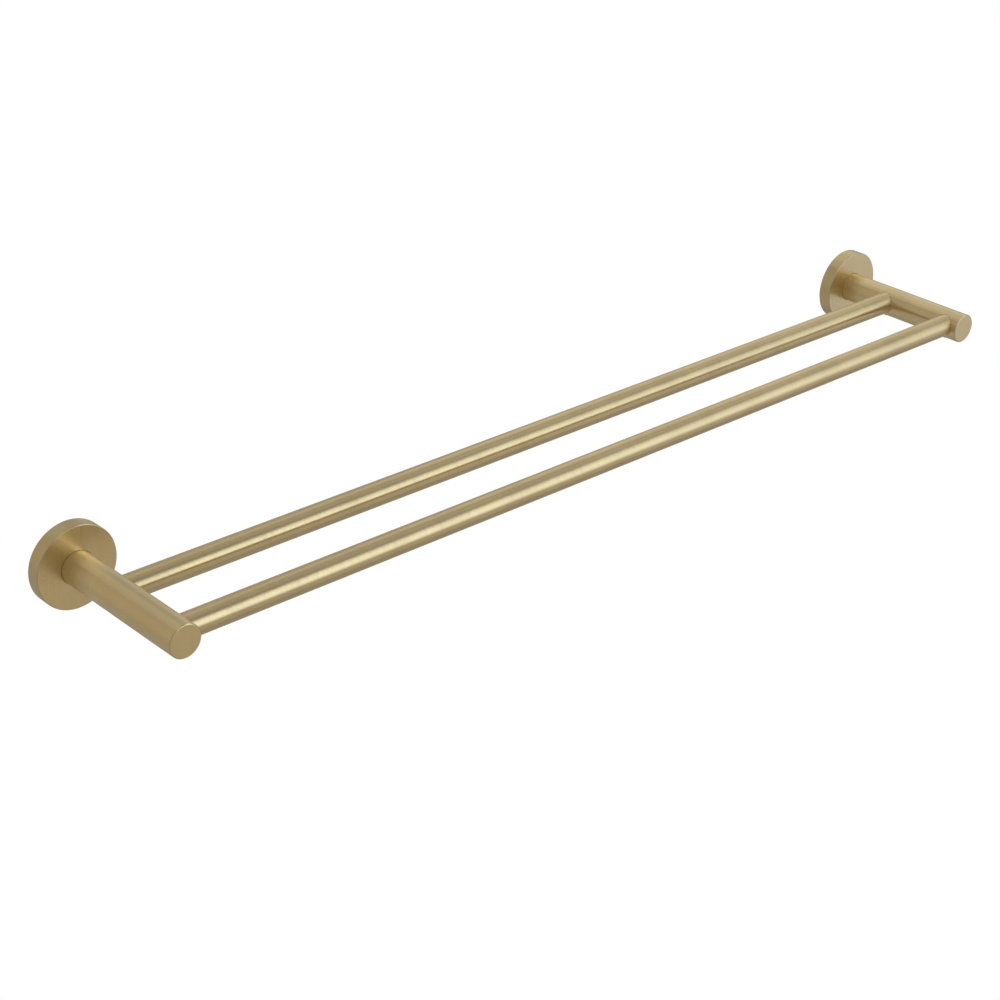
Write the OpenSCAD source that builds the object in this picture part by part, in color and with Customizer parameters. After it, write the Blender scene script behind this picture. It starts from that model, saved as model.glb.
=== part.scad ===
// Double towel rail: two round wall flanges carry a post each, and two bars run between the posts.
// X runs along the bars, -Y points from the wall into the room, Z is up.
// The origin is on the wall plane, midway between the posts and level with their axes.

/* [Rail] */
// Distance between the axes of the two posts
post_distance = 720; // [300:10:1000]
// Distance from the wall to the free end of a post
projection = 119; // [105:1:160]

/* [Bars] */
// Outside diameter of a bar
bar_d = 16; // [12:1:18]
// Wall thickness of the bar tube
bar_wall = 1.2; // [0.8:0.1:2]
// Distance between the axes of the two bars
bar_pitch = 57; // [40:1:70]
// Distance from the free end of a post to the axis of the front bar
front_margin = 12.5; // [11:0.5:20]
// Height of the bar axes above the post axes
bar_rise = 1; // [0:0.5:1.5]
// Length of the plug in each end of a bar
plug_length = 15; // [8:1:30]
// Thickness of the head that a plug has outside its bar
plug_head = 0.4; // [0.2:0.1:0.5]
// Chamfer at the inner end of a plug
plug_lead = 0.6; // [0.2:0.1:1.5]

/* [Posts] */
// Diameter of a post
post_d = 22; // [20:1:30]
// Chamfer round the free end of a post
post_edge = 0.6; // [0.3:0.1:1.5]
// Distance that the bar sockets run past the centre of a post
socket_past_centre = 1; // [0.8:0.1:1.5]
// Depth of the threaded hole in the back end of a post
tapping_depth = 14; // [12:1:20]

/* [Wall flanges] */
// Diameter of a wall flange
flange_d = 55; // [46:1:80]
// Distance from the wall to the face of a flange
flange_t = 10; // [8.5:0.5:16]
// Thickness of the flange wall round the bracket
flange_wall = 5.4; // [4:0.2:7]
// Thickness of the flange face
flange_face = 3; // [2.5:0.1:3]
// Depth of the seat that holds the back end of a post
post_seat = 1; // [0.5:0.1:1.5]
// Chamfer round the front edge of a flange
flange_edge = 0.4; // [0.2:0.1:1]

/* [Wall brackets] */
// Gap between the bracket and the flange face
bracket_back_off = 0.5; // [0.2:0.1:1]
// Distance from the rim of a bracket to the axis of a wall screw hole
screw_hole_inset = 7; // [6.5:0.5:8]
// Diameter of a wall screw hole
screw_hole_d = 5.2; // [4:0.2:5.6]
// Diameter of the countersink at the mouth of a wall screw hole
countersink_d = 9.6; // [8:0.2:10]
// Depth of the countersink
countersink_depth = 2.2; // [1:0.2:3]

/* [Fasteners] */
// Thread diameter of the screw that holds a post to its flange
post_screw_d = 6; // [4:1:6]
// Length of that screw under its head
post_screw_length = 14; // [12:1:16]
// Diameter of the screw head
screw_head_d = 10; // [8:0.5:10]
// Height of the screw head
screw_head_h = 3.5; // [3:0.1:3.5]
// Outside diameter of the spring washer
washer_d = 11; // [9:0.5:11.5]
// Thickness of the spring washer
washer_t = 1.4; // [1:0.1:1.4]
// Width of the split in the spring washer, in degrees
washer_split = 14; // [6:1:20]
// Thread diameter of the set screw that locks a flange to its bracket
flange_set_screw_d = 5; // [3:1:6]
// Thread diameter of the set screw that holds a bar in a post
bar_set_screw_d = 4; // [3:1:5]
// Distance from a post's centre to the axis of a bar set screw
bar_set_screw_inset = 4; // [3:0.5:5]
// Distance that the outer end of a set screw lies below the surface round it
set_screw_recess = 0.4; // [0.1:0.1:1]
// Chamfer at a screw's tip, as a share of its thread radius
tip_share = 0.25; // [0.1:0.05:0.4]
// Width of a hex socket across its corners, as a share of the thread diameter
key_share = 0.55; // [0.4:0.05:0.7]
// Depth of the hex socket, as a share of a set screw's length or of a screw head's height
key_depth_share = 0.45; // [0.3:0.05:0.6]

/* [Clearances] */
// Radial clearance of a thread, a plug or a bar in its hole
fit_gap = 0.02; // [0.01:0.01:0.1]
// Radial clearance of a post in its seat and of a flange on its bracket
seat_gap = 0.1; // [0.02:0.01:0.1]
// Radial clearance of the post screw in the flange and of the washer on the screw
screw_gap = 0.2; // [0.1:0.1:0.5]
// Radial clearance of the screw head in the middle of the bracket
head_gap = 1; // [0.5:0.5:1.5]
// Gap between the end of a bar and the floor of its socket
end_gap = 0.6; // [0.6:0.1:1]

/* [Hidden] */
$fn = 72;
over = 1;

brass = [0.76, 0.64, 0.41];
steel = [0.72, 0.72, 0.70];
zinc = [0.60, 0.61, 0.62];
nylon = [0.92, 0.91, 0.87];

left = -1;
right = 1;

bar_r = bar_d / 2;
post_r = post_d / 2;
flange_r = flange_d / 2;
front_bar_y = projection - front_margin;
back_bar_y = front_bar_y - bar_pitch;
bar_length = post_distance + 2 * (socket_past_centre - end_gap);

pocket_r = flange_r - flange_wall;
pocket_depth = flange_t - flange_face;
bracket_r = pocket_r - seat_gap;
bracket_t = pocket_depth - bracket_back_off;
screw_hole_offset = bracket_r - screw_hole_inset;
post_back = flange_t - post_seat;
plate_back = pocket_depth;
washer_back = plate_back - washer_t;

post_screw_r = post_screw_d / 2;
flange_set_screw_r = flange_set_screw_d / 2;
bar_set_screw_r = bar_set_screw_d / 2;
flange_set_screw_length = flange_wall + seat_gap - fit_gap - set_screw_recess;
post_side = sqrt(post_r * post_r - bar_set_screw_inset * bar_set_screw_inset);
bar_set_screw_length = post_side - (bar_r - bar_rise) - fit_gap - set_screw_recess;

// Stands its children on the wall at one post: their z is the distance from the wall, their y is up.
module on_wall(side) {
    translate([side * post_distance / 2, 0, 0])
        rotate([90, 0, 0])
            children();
}

// Lays its children along a bar, from the bar's end in the post at one side towards the other post.
module in_bar_end(side, bar_y) {
    translate([side * bar_length / 2, -bar_y, bar_rise])
        rotate([0, -90 * side, 0])
            children();
}

// A headless screw with a hex socket at z = 0 and a chamfered tip at z = length.
module set_screw(r, length) {
    tip = r * tip_share;
    key_depth = length * key_depth_share;
    color(steel)
        difference() {
            union() {
                cylinder(r = r, h = length - tip);
                translate([0, 0, length - tip])
                    cylinder(r1 = r, r2 = r - tip, h = tip);
            }
            translate([0, 0, -over])
                cylinder(r = r * key_share, h = key_depth + over, $fn = 6);
        }
}

// The ring that fits inside a flange and is screwed to the wall.
module wall_bracket(side) {
    on_wall(side)
        color(zinc)
            difference() {
                cylinder(r = bracket_r, h = bracket_t);
                translate([0, 0, -over])
                    cylinder(r = screw_head_d / 2 + head_gap, h = bracket_t + 2 * over);
                for (place = [-1, 1])
                    translate([0, place * screw_hole_offset, 0])
                        wall_screw_hole();
            }
}

module wall_screw_hole() {
    translate([0, 0, -over])
        cylinder(d = screw_hole_d, h = bracket_t + 2 * over);
    translate([0, 0, bracket_t - countersink_depth])
        cylinder(d1 = screw_hole_d, d2 = countersink_d, h = countersink_depth);
    translate([0, 0, bracket_t])
        cylinder(d = countersink_d, h = over);
}

// The round cover over a bracket, open at the back, with a seat for the post in its face.
module flange(side) {
    on_wall(side)
        color(brass)
            difference() {
                union() {
                    cylinder(r = flange_r, h = flange_t - flange_edge);
                    translate([0, 0, flange_t - flange_edge])
                        cylinder(r1 = flange_r, r2 = flange_r - flange_edge, h = flange_edge);
                }
                translate([0, 0, -over])
                    cylinder(r = pocket_r, h = pocket_depth + over);
                translate([0, 0, post_back])
                    cylinder(r = post_r + seat_gap, h = post_seat + over);
                cylinder(r = post_screw_r + screw_gap, h = flange_t);
                translate([0, -pocket_r + over, bracket_t / 2])
                    rotate([90, 0, 0])
                        cylinder(r = flange_set_screw_r + fit_gap, h = flange_wall + 2 * over);
            }
}

// The set screw under a flange, with its tip against the rim of the bracket.
module flange_set_screw(side) {
    on_wall(side)
        translate([0, -bracket_r - fit_gap - flange_set_screw_length, bracket_t / 2])
            rotate([-90, 0, 0])
                set_screw(flange_set_screw_r, flange_set_screw_length);
}

// The round arm from the flange, with a socket for each bar.
module post(side) {
    on_wall(side)
        color(brass)
            difference() {
                union() {
                    translate([0, 0, post_back])
                        cylinder(r = post_r, h = projection - post_edge - post_back);
                    translate([0, 0, projection - post_edge])
                        cylinder(r1 = post_r, r2 = post_r - post_edge, h = post_edge);
                }
                translate([0, 0, post_back - over])
                    cylinder(r = post_screw_r + fit_gap, h = tapping_depth + over);
                for (bar_y = [back_bar_y, front_bar_y])
                    translate([0, 0, bar_y])
                        bar_socket(-side);
            }
}

// The hole for a bar end and the threaded hole under it, both on the inward side of a post.
module bar_socket(inward) {
    translate([-inward * socket_past_centre, bar_rise, 0])
        rotate([0, 90 * inward, 0])
            cylinder(r = bar_r + fit_gap, h = post_r + socket_past_centre + over);
    translate([inward * bar_set_screw_inset, bar_rise, 0])
        rotate([90, 0, 0])
            cylinder(r = bar_set_screw_r + fit_gap, h = post_r + bar_rise + over);
}

// The screw that pulls a post into its seat from inside the flange.
module post_screw(side) {
    tip = post_screw_r * tip_share;
    shank = post_screw_length - tip;
    key_depth = screw_head_h * key_depth_share;
    on_wall(side)
        color(steel)
            difference() {
                union() {
                    translate([0, 0, washer_back - screw_head_h])
                        cylinder(d = screw_head_d, h = screw_head_h);
                    translate([0, 0, washer_back])
                        cylinder(r = post_screw_r, h = shank);
                    translate([0, 0, washer_back + shank])
                        cylinder(r1 = post_screw_r, r2 = post_screw_r - tip, h = tip);
                }
                translate([0, 0, washer_back - screw_head_h - over])
                    cylinder(r = post_screw_r * key_share, h = key_depth + over, $fn = 6);
            }
}

// The split ring under the head of the post screw.
module spring_washer(side) {
    inner_r = post_screw_r + screw_gap;
    on_wall(side)
        color(steel)
            translate([0, 0, washer_back])
                rotate([0, 0, washer_split / 2])
                    rotate_extrude(angle = 360 - washer_split)
                        translate([inner_r, 0])
                            square([washer_d / 2 - inner_r, washer_t]);
}

// The tube that a towel hangs on.
module bar(bar_y) {
    in_bar_end(left, bar_y)
        color(brass)
            difference() {
                cylinder(r = bar_r, h = bar_length);
                translate([0, 0, -over])
                    cylinder(r = bar_r - bar_wall, h = bar_length + 2 * over);
            }
}

// The plug that stiffens a bar where its set screw presses.
module bar_plug(side, bar_y) {
    plug_r = bar_r - bar_wall - fit_gap;
    in_bar_end(side, bar_y)
        color(nylon) {
            translate([0, 0, -plug_head])
                cylinder(r = bar_r - bar_wall / 2, h = plug_head);
            cylinder(r = plug_r, h = plug_length - plug_lead);
            translate([0, 0, plug_length - plug_lead])
                cylinder(r1 = plug_r, r2 = plug_r - plug_lead, h = plug_lead);
        }
}

// The set screw under a post, with its tip against the bar.
module bar_set_screw(side, bar_y) {
    on_wall(side)
        translate([-side * bar_set_screw_inset, set_screw_recess - post_side, bar_y])
            rotate([-90, 0, 0])
                set_screw(bar_set_screw_r, bar_set_screw_length);
}

wall_bracket(left);  // left_wall_bracket
wall_bracket(right);  // right_wall_bracket
flange(left);  // left_flange
flange(right);  // right_flange
flange_set_screw(left);  // left_flange_set_screw
flange_set_screw(right);  // right_flange_set_screw
post(left);  // left_post
post(right);  // right_post
post_screw(left);  // left_post_screw
post_screw(right);  // right_post_screw
spring_washer(left);  // left_spring_washer
spring_washer(right);  // right_spring_washer
bar(back_bar_y);  // back_bar
bar(front_bar_y);  // front_bar
bar_plug(left, back_bar_y);  // back_bar_left_plug
bar_plug(right, back_bar_y);  // back_bar_right_plug
bar_plug(left, front_bar_y);  // front_bar_left_plug
bar_plug(right, front_bar_y);  // front_bar_right_plug
bar_set_screw(left, back_bar_y);  // back_bar_left_set_screw
bar_set_screw(right, back_bar_y);  // back_bar_right_set_screw
bar_set_screw(left, front_bar_y);  // front_bar_left_set_screw
bar_set_screw(right, front_bar_y);  // front_bar_right_set_screw
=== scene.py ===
import math
import bpy
import bmesh
from mathutils import Vector, Matrix


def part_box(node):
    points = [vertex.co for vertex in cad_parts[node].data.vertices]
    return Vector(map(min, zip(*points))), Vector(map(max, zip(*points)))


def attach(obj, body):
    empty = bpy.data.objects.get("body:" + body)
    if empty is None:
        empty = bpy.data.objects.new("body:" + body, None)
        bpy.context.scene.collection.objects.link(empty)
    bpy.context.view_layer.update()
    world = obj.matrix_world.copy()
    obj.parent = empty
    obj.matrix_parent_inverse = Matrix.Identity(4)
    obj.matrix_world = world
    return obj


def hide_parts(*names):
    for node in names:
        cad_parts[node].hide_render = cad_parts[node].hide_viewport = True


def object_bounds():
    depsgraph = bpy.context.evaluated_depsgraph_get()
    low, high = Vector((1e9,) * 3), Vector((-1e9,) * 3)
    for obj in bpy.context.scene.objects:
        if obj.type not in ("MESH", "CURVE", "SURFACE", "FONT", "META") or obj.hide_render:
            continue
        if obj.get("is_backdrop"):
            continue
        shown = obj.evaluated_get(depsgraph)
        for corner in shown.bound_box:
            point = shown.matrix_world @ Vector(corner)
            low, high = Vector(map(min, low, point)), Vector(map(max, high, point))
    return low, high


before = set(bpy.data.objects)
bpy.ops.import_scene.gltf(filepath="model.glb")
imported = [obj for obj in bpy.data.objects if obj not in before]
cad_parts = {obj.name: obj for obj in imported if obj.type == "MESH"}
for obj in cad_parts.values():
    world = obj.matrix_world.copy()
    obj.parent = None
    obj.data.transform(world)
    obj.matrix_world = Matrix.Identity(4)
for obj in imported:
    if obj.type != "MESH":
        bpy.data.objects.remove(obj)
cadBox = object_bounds()
scene = bpy.context.scene
mm = 0.001
sides = {"left": -1, "right": 1}  # x sign of each post
towardsRoom = Vector((0, -1, 0))
weldDistance = 0.000002  # points nearer to each other than this become one
print("frame loaded:", len(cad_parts), "cad nodes")


def boxOf(node):
    low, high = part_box(node)
    return low, high, (low + high) / 2


def centreOf(node):
    return boxOf(node)[2]


def sizeOf(node):
    low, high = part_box(node)
    return high - low


def outward(azimuth, elevation):
    # azimuth 0 is straight out into the room, 90 is to the right
    turn, rise = math.radians(azimuth), math.radians(elevation)
    return Vector((math.sin(turn) * math.cos(rise), -math.cos(turn) * math.cos(rise), math.sin(rise)))


def addNode(tree, kind, place=(0, 0), **settings):
    node = tree.nodes.new(kind)
    node.location = (place[0] * 200, place[1] * 200)
    for key, value in settings.items():
        setattr(node, key, value)
    return node


def feed(tree, value, socket):
    # an output is linked, a number is typed in
    if hasattr(value, "is_linked"):
        tree.links.new(value, socket)
    else:
        socket.default_value = value


def calculate(tree, operation, first, second=None, place=(0, 0), kind="ShaderNodeMath", third=None):
    node = addNode(tree, kind, place, operation=operation)
    for index, value in enumerate((first, second, third)):
        if value is not None:
            feed(tree, value, node.inputs[index])
    return node.outputs[0]


def scaled(tree, vector, amount, place):
    node = addNode(tree, "ShaderNodeVectorMath", place, operation="SCALE")
    feed(tree, vector, node.inputs[0])
    feed(tree, amount, node.inputs["Scale"])
    return node.outputs[0]


def ramp(tree, value, start, end, low, high, place):
    # eases from low to high while the value goes from start to end
    node = addNode(tree, "ShaderNodeMapRange", place, interpolation_type="SMOOTHSTEP")
    given = {"Value": value, "From Min": start, "From Max": end, "To Min": low, "To Max": high}
    for key, number in given.items():
        feed(tree, number, node.inputs[key])
    return node.outputs["Result"]


cameraSetup = {
    "azimuth": -43.73,  # degrees round the rack, 0 looks straight at the wall
    "elevation": 27.43,
    "roll": 2.156,
    "distance": 1.4,
    "lens": 77.15,
    "aim": Vector((-81.6, -17.1, -19.5)) * mm,  # from the middle of the rack
}


def makeCamera(setup):
    cadMiddle = (cadBox[0] + cadBox[1]) / 2
    back = outward(setup["azimuth"], setup["elevation"])
    camera = bpy.data.objects.new("camera", bpy.data.cameras.new("camera"))
    scene.collection.objects.link(camera)
    camera.data.lens = setup["lens"]
    camera.data.sensor_width = 36
    camera.data.clip_start = 0.05
    camera.data.clip_end = 60
    level = back.to_track_quat("Z", "Y").to_matrix()
    roll = Matrix.Rotation(math.radians(setup["roll"]), 3, "Z")
    stand = cadMiddle + setup["aim"] + back * setup["distance"]
    camera.matrix_world = Matrix.Translation(stand) @ (level @ roll).to_4x4()
    scene.camera = camera


makeCamera(cameraSetup)

studio = {
    "floorDrop": 1.3,  # metres from the post axes down to the floor
    "floorSize": 40.0,
    "backdrop": 1.0,  # what the camera sees behind the rack
    "roomGlow": (0.36, 0.36, 0.36),  # what the metal mirrors all round it
}
# soft patches of the light tent: azimuth and elevation, full inside the first angle, gone past the second
tentPatches = {
    "rightKey": {"at": (74, 40), "full": 7, "gone": 23, "glow": (0.40, 0.43, 0.48)},
    "backFill": {"at": (144, 28), "full": 10, "gone": 38, "glow": (0.11, 0.115, 0.12)},
    "topFill": {"at": (-172, 68), "full": 16, "gone": 28, "glow": (0.30, 0.29, 0.28)},
    "leftFill": {"at": (-144, 14), "full": 12, "gone": 42, "glow": (0.18, 0.14, 0.08)},
    "lowLeftFill": {"at": (-135, -42), "full": 12, "gone": 36, "glow": (0.09, 0.09, 0.09)},
    "frontFill": {"at": (32, -30), "full": 6, "gone": 20, "glow": (0.10, 0.06, 0.0)},
    "frontRightFill": {"at": (56, -21), "full": 5, "gone": 21, "glow": (0.20, 0.22, 0.30)},
    "darkGap": {"at": (47, 54), "full": 6, "gone": 22, "glow": (-0.32, -0.32, -0.32)},
}
# the key light, a wide card turned to face the rack's right end; its lower part and right side fade out
keyCard = {
    "facing": 58,
    "distance": 1.8,
    "left": -3.4,  # along the card from the point straight out from the rack
    "right": 0.85,
    "rightFade": 1.75,
    "bottom": -0.75,
    "top": 1.76,
    "lowerFade": 1.12,
    "radiance": 1.82,
    "colour": (0.76, 0.86, 1.0),
}
# a panel near the right post, behind and above it
sidePanel = {"place": (0.95, 0.42, 0.52), "size": (1.0, 0.8), "radiance": 0.30}


def splitRays(tree, seen, mirrored, place):
    # the camera sees one thing and the metal mirrors another
    rays = addNode(tree, "ShaderNodeLightPath", (place[0], place[1] + 1))
    choose = addNode(tree, "ShaderNodeMixShader", place)
    tree.links.new(rays.outputs["Is Camera Ray"], choose.inputs[0])
    tree.links.new(mirrored.outputs[0], choose.inputs[1])
    tree.links.new(seen.outputs[0], choose.inputs[2])
    return choose.outputs[0]


def makeTent():
    world = bpy.data.worlds.new("lightTent")
    scene.world = world
    world.use_nodes = True
    tree = world.node_tree
    tree.nodes.clear()
    direction = addNode(tree, "ShaderNodeTexCoord", (0, 0)).outputs["Generated"]
    glow = addNode(tree, "ShaderNodeCombineXYZ", (0, 1))
    for socket, value in zip(glow.inputs, studio["roomGlow"]):
        socket.default_value = value
    total = glow.outputs[0]
    for number, patch in enumerate(tentPatches.values()):
        near = addNode(tree, "ShaderNodeVectorMath", (1, number), operation="DOT_PRODUCT")
        tree.links.new(direction, near.inputs[0])
        near.inputs[1].default_value = outward(*patch["at"])
        gone, full = (math.cos(math.radians(patch[key])) for key in ("gone", "full"))
        fade = ramp(tree, near.outputs["Value"], gone, full, 0.0, 1.0, (2, number))
        part = scaled(tree, patch["glow"], fade, (3, number))
        total = calculate(tree, "ADD", total, part, (4, number), kind="ShaderNodeVectorMath")
    room = addNode(tree, "ShaderNodeBackground", (5, 0))
    tree.links.new(total, room.inputs["Color"])
    backdrop = addNode(tree, "ShaderNodeBackground", (5, -1))
    backdrop.inputs["Color"].default_value = (1, 1, 1, 1)
    backdrop.inputs["Strength"].default_value = studio["backdrop"]
    out = addNode(tree, "ShaderNodeOutputWorld", (7, 0))
    tree.links.new(splitRays(tree, backdrop, room, (6, 0)), out.inputs["Surface"])


def makeSheet(name, left, right, bottom, top):
    mesh = bpy.data.meshes.new(name)
    corners = [(left, bottom, 0), (right, bottom, 0), (right, top, 0), (left, top, 0)]
    mesh.from_pydata(corners, [], [(0, 1, 2, 3)])
    sheet = bpy.data.objects.new(name, mesh)
    scene.collection.objects.link(sheet)
    glowing = bpy.data.materials.new(name)
    glowing.use_nodes = True
    glowing.node_tree.nodes.clear()
    mesh.materials.append(glowing)
    sheet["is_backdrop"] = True
    return sheet, glowing.node_tree


def makeFloor():
    half = studio["floorSize"] / 2
    floor, tree = makeSheet("paleFloor", -half, half, -half, half)
    floor.location.z = -studio["floorDrop"]
    seen = addNode(tree, "ShaderNodeEmission", (0, 0))
    seen.inputs["Strength"].default_value = studio["backdrop"]
    mirrored = addNode(tree, "ShaderNodeBsdfTransparent", (0, -1))  # the metal sees the tent through it
    out = addNode(tree, "ShaderNodeOutputMaterial", (2, 0))
    tree.links.new(splitRays(tree, seen, mirrored, (1, 0)), out.inputs["Surface"])


def makeKeyCard():
    k = keyCard
    card, tree = makeSheet("keyCard", k["left"], k["right"], k["bottom"], k["top"])
    away = outward(k["facing"], 0)
    card.location = centreOf("back_bar") + away * k["distance"]
    along = Vector((-away.y, away.x, 0))  # to the right as seen from the rack
    turned = Matrix((along, Vector((0, 0, 1)), away)).transposed().to_4x4()
    card.matrix_world = Matrix.Translation(card.location) @ turned
    card.visible_camera = False
    where = addNode(tree, "ShaderNodeSeparateXYZ", (1, 0))
    tree.links.new(addNode(tree, "ShaderNodeTexCoord", (0, 0)).outputs["Object"], where.inputs[0])
    right, bottom = k["right"], k["bottom"]
    sideways = ramp(tree, where.outputs["X"], right, right - k["rightFade"], 0.0, 1.0, (2, 0))
    upwards = ramp(tree, where.outputs["Y"], bottom, bottom + k["lowerFade"], 0.0, 1.0, (2, 1))
    both = calculate(tree, "MULTIPLY", sideways, upwards, (3, 0))
    lit = addNode(tree, "ShaderNodeEmission", (5, 0))
    lit.inputs["Color"].default_value = (*k["colour"], 1)
    lit.inputs["Strength"].default_value = k["radiance"]
    clear = addNode(tree, "ShaderNodeBsdfTransparent", (5, -1))  # the tent shows through its faded parts
    show = addNode(tree, "ShaderNodeMixShader", (6, 0))
    tree.links.new(both, show.inputs[0])
    tree.links.new(clear.outputs[0], show.inputs[1])
    tree.links.new(lit.outputs[0], show.inputs[2])
    out = addNode(tree, "ShaderNodeOutputMaterial", (7, 0))
    tree.links.new(show.outputs[0], out.inputs["Surface"])


def makeSidePanel():
    lamp = bpy.data.lights.new("sidePanel", "AREA")
    lamp.shape = "RECTANGLE"
    lamp.size, lamp.size_y = sidePanel["size"]
    lamp.energy = sidePanel["radiance"] * math.pi * lamp.size * lamp.size_y
    panel = bpy.data.objects.new("sidePanel", lamp)
    scene.collection.objects.link(panel)
    panel.location = sidePanel["place"]
    toRack = panel.location - centreOf("right_post")
    panel.rotation_euler = toRack.to_track_quat("Z", "Y").to_euler()
    panel.visible_camera = False


def makeStudio():
    scene.view_settings.view_transform = "Standard"
    makeTent()
    makeFloor()
    makeKeyCard()
    makeSidePanel()


makeStudio()
print("camera and studio ready")


def newEffect(name, inputs, outputs):
    tree = bpy.data.node_groups.new(name, "ShaderNodeTree")
    for socketName, kind, value in inputs:
        socket = tree.interface.new_socket(name=socketName, in_out="INPUT", socket_type=kind)
        if value is not None:
            socket.default_value = value
    for socketName, kind in outputs:
        tree.interface.new_socket(name=socketName, in_out="OUTPUT", socket_type=kind)
    return tree, addNode(tree, "NodeGroupInput", (-4, 0)), addNode(tree, "NodeGroupOutput", (5, 0))


def noise(tree, vector, scale, detail, place, roughness=0.6):
    node = addNode(tree, "ShaderNodeTexNoise", place, noise_dimensions="3D")
    node.inputs["Scale"].default_value = scale
    node.inputs["Detail"].default_value = detail
    node.inputs["Roughness"].default_value = roughness
    tree.links.new(vector, node.inputs["Vector"])
    return node.outputs["Fac"]


def makeBrushedGrain():
    # belt-brushed lines; the vector is stretched along them before it comes in
    tree, given, result = newEffect(
        "brushedGrain",
        [("Vector", "NodeSocketVector", None), ("Broad Size", "NodeSocketFloat", 0.12),
         ("Roughness", "NodeSocketFloat", 0.3), ("Roughness Spread", "NodeSocketFloat", 0.06)],
        [("Height", "NodeSocketFloat"), ("Tint", "NodeSocketFloat"), ("Roughness", "NodeSocketFloat")])
    fine = noise(tree, given.outputs["Vector"], 1.0, 4, (-2, 1), 0.65)
    broadVector = scaled(tree, given.outputs["Vector"], given.outputs["Broad Size"], (-3, -1))
    broad = noise(tree, broadVector, 1.0, 3, (-2, -1))
    broadPart = calculate(tree, "MULTIPLY", broad, 0.25, (-1, 0))
    height = calculate(tree, "MULTIPLY_ADD", fine, 0.75, (-1, 1), third=broadPart)
    tree.links.new(height, result.inputs["Height"])
    tree.links.new(ramp(tree, height, 0.32, 0.68, 0.0, 1.0, (1, 1)), result.inputs["Tint"])
    swing = calculate(tree, "SUBTRACT", ramp(tree, broad, 0.25, 0.75, 0.0, 1.0, (0, -1)), 0.5, (1, -1))
    rough = calculate(tree, "MULTIPLY_ADD", swing, given.outputs["Roughness Spread"], (2, -1),
                      third=given.outputs["Roughness"])
    tree.links.new(rough, result.inputs["Roughness"])
    return tree


def makeHandlingMarks():
    # faint dull patches that hands and cloths leave
    tree, given, result = newEffect(
        "handlingMarks",
        [("Vector", "NodeSocketVector", None), ("Patch Size", "NodeSocketFloat", 30.0)],
        [("Mask", "NodeSocketFloat")])
    where = scaled(tree, given.outputs["Vector"], given.outputs["Patch Size"], (-3, 0))
    patch = noise(tree, where, 1.0, 4, (-2, 0), 0.55)
    tree.links.new(ramp(tree, patch, 0.42, 0.66, 0.0, 1.0, (0, 0)), result.inputs["Mask"])
    return tree


def makePaintedEdgeHighlight():
    # painted highlight: rounded edges get a lighter colour, broken up by noise; the attribute is 1 on the
    # rounded corners of a piece
    tree, given, result = newEffect(
        "paintedEdgeHighlight",
        [("Edge", "NodeSocketFloat", 0.0), ("Vector", "NodeSocketVector", None),
         ("Amount", "NodeSocketFloat", 0.6)],
        [("Mask", "NodeSocketFloat")])
    broken = noise(tree, given.outputs["Vector"], 160.0, 3, (-2, -1))
    share = ramp(tree, broken, 0.2, 0.6, 0.55, 1.0, (-1, -1))
    mask = calculate(tree, "MULTIPLY", calculate(tree, "MULTIPLY", given.outputs["Edge"], share, (1, 0)),
                     given.outputs["Amount"], (2, 0))
    tree.links.new(mask, result.inputs["Mask"])
    return tree


brushedGrain = makeBrushedGrain()
handlingMarks = makeHandlingMarks()
paintedEdgeHighlight = makePaintedEdgeHighlight()


def placeEffect(tree, effect, place, **values):
    node = addNode(tree, "ShaderNodeGroup", place, node_tree=effect)
    for key, value in values.items():
        feed(tree, value, node.inputs[key])
    return node


def blendColour(tree, factor, first, second, place):
    node = addNode(tree, "ShaderNodeMix", place, data_type="RGBA", blend_type="MIX")
    sockets = [s for s in node.inputs if s.enabled]
    for socket, value in zip(sockets, (factor, first, second)):
        feed(tree, value, socket)
    return [s for s in node.outputs if s.enabled][0]


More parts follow.
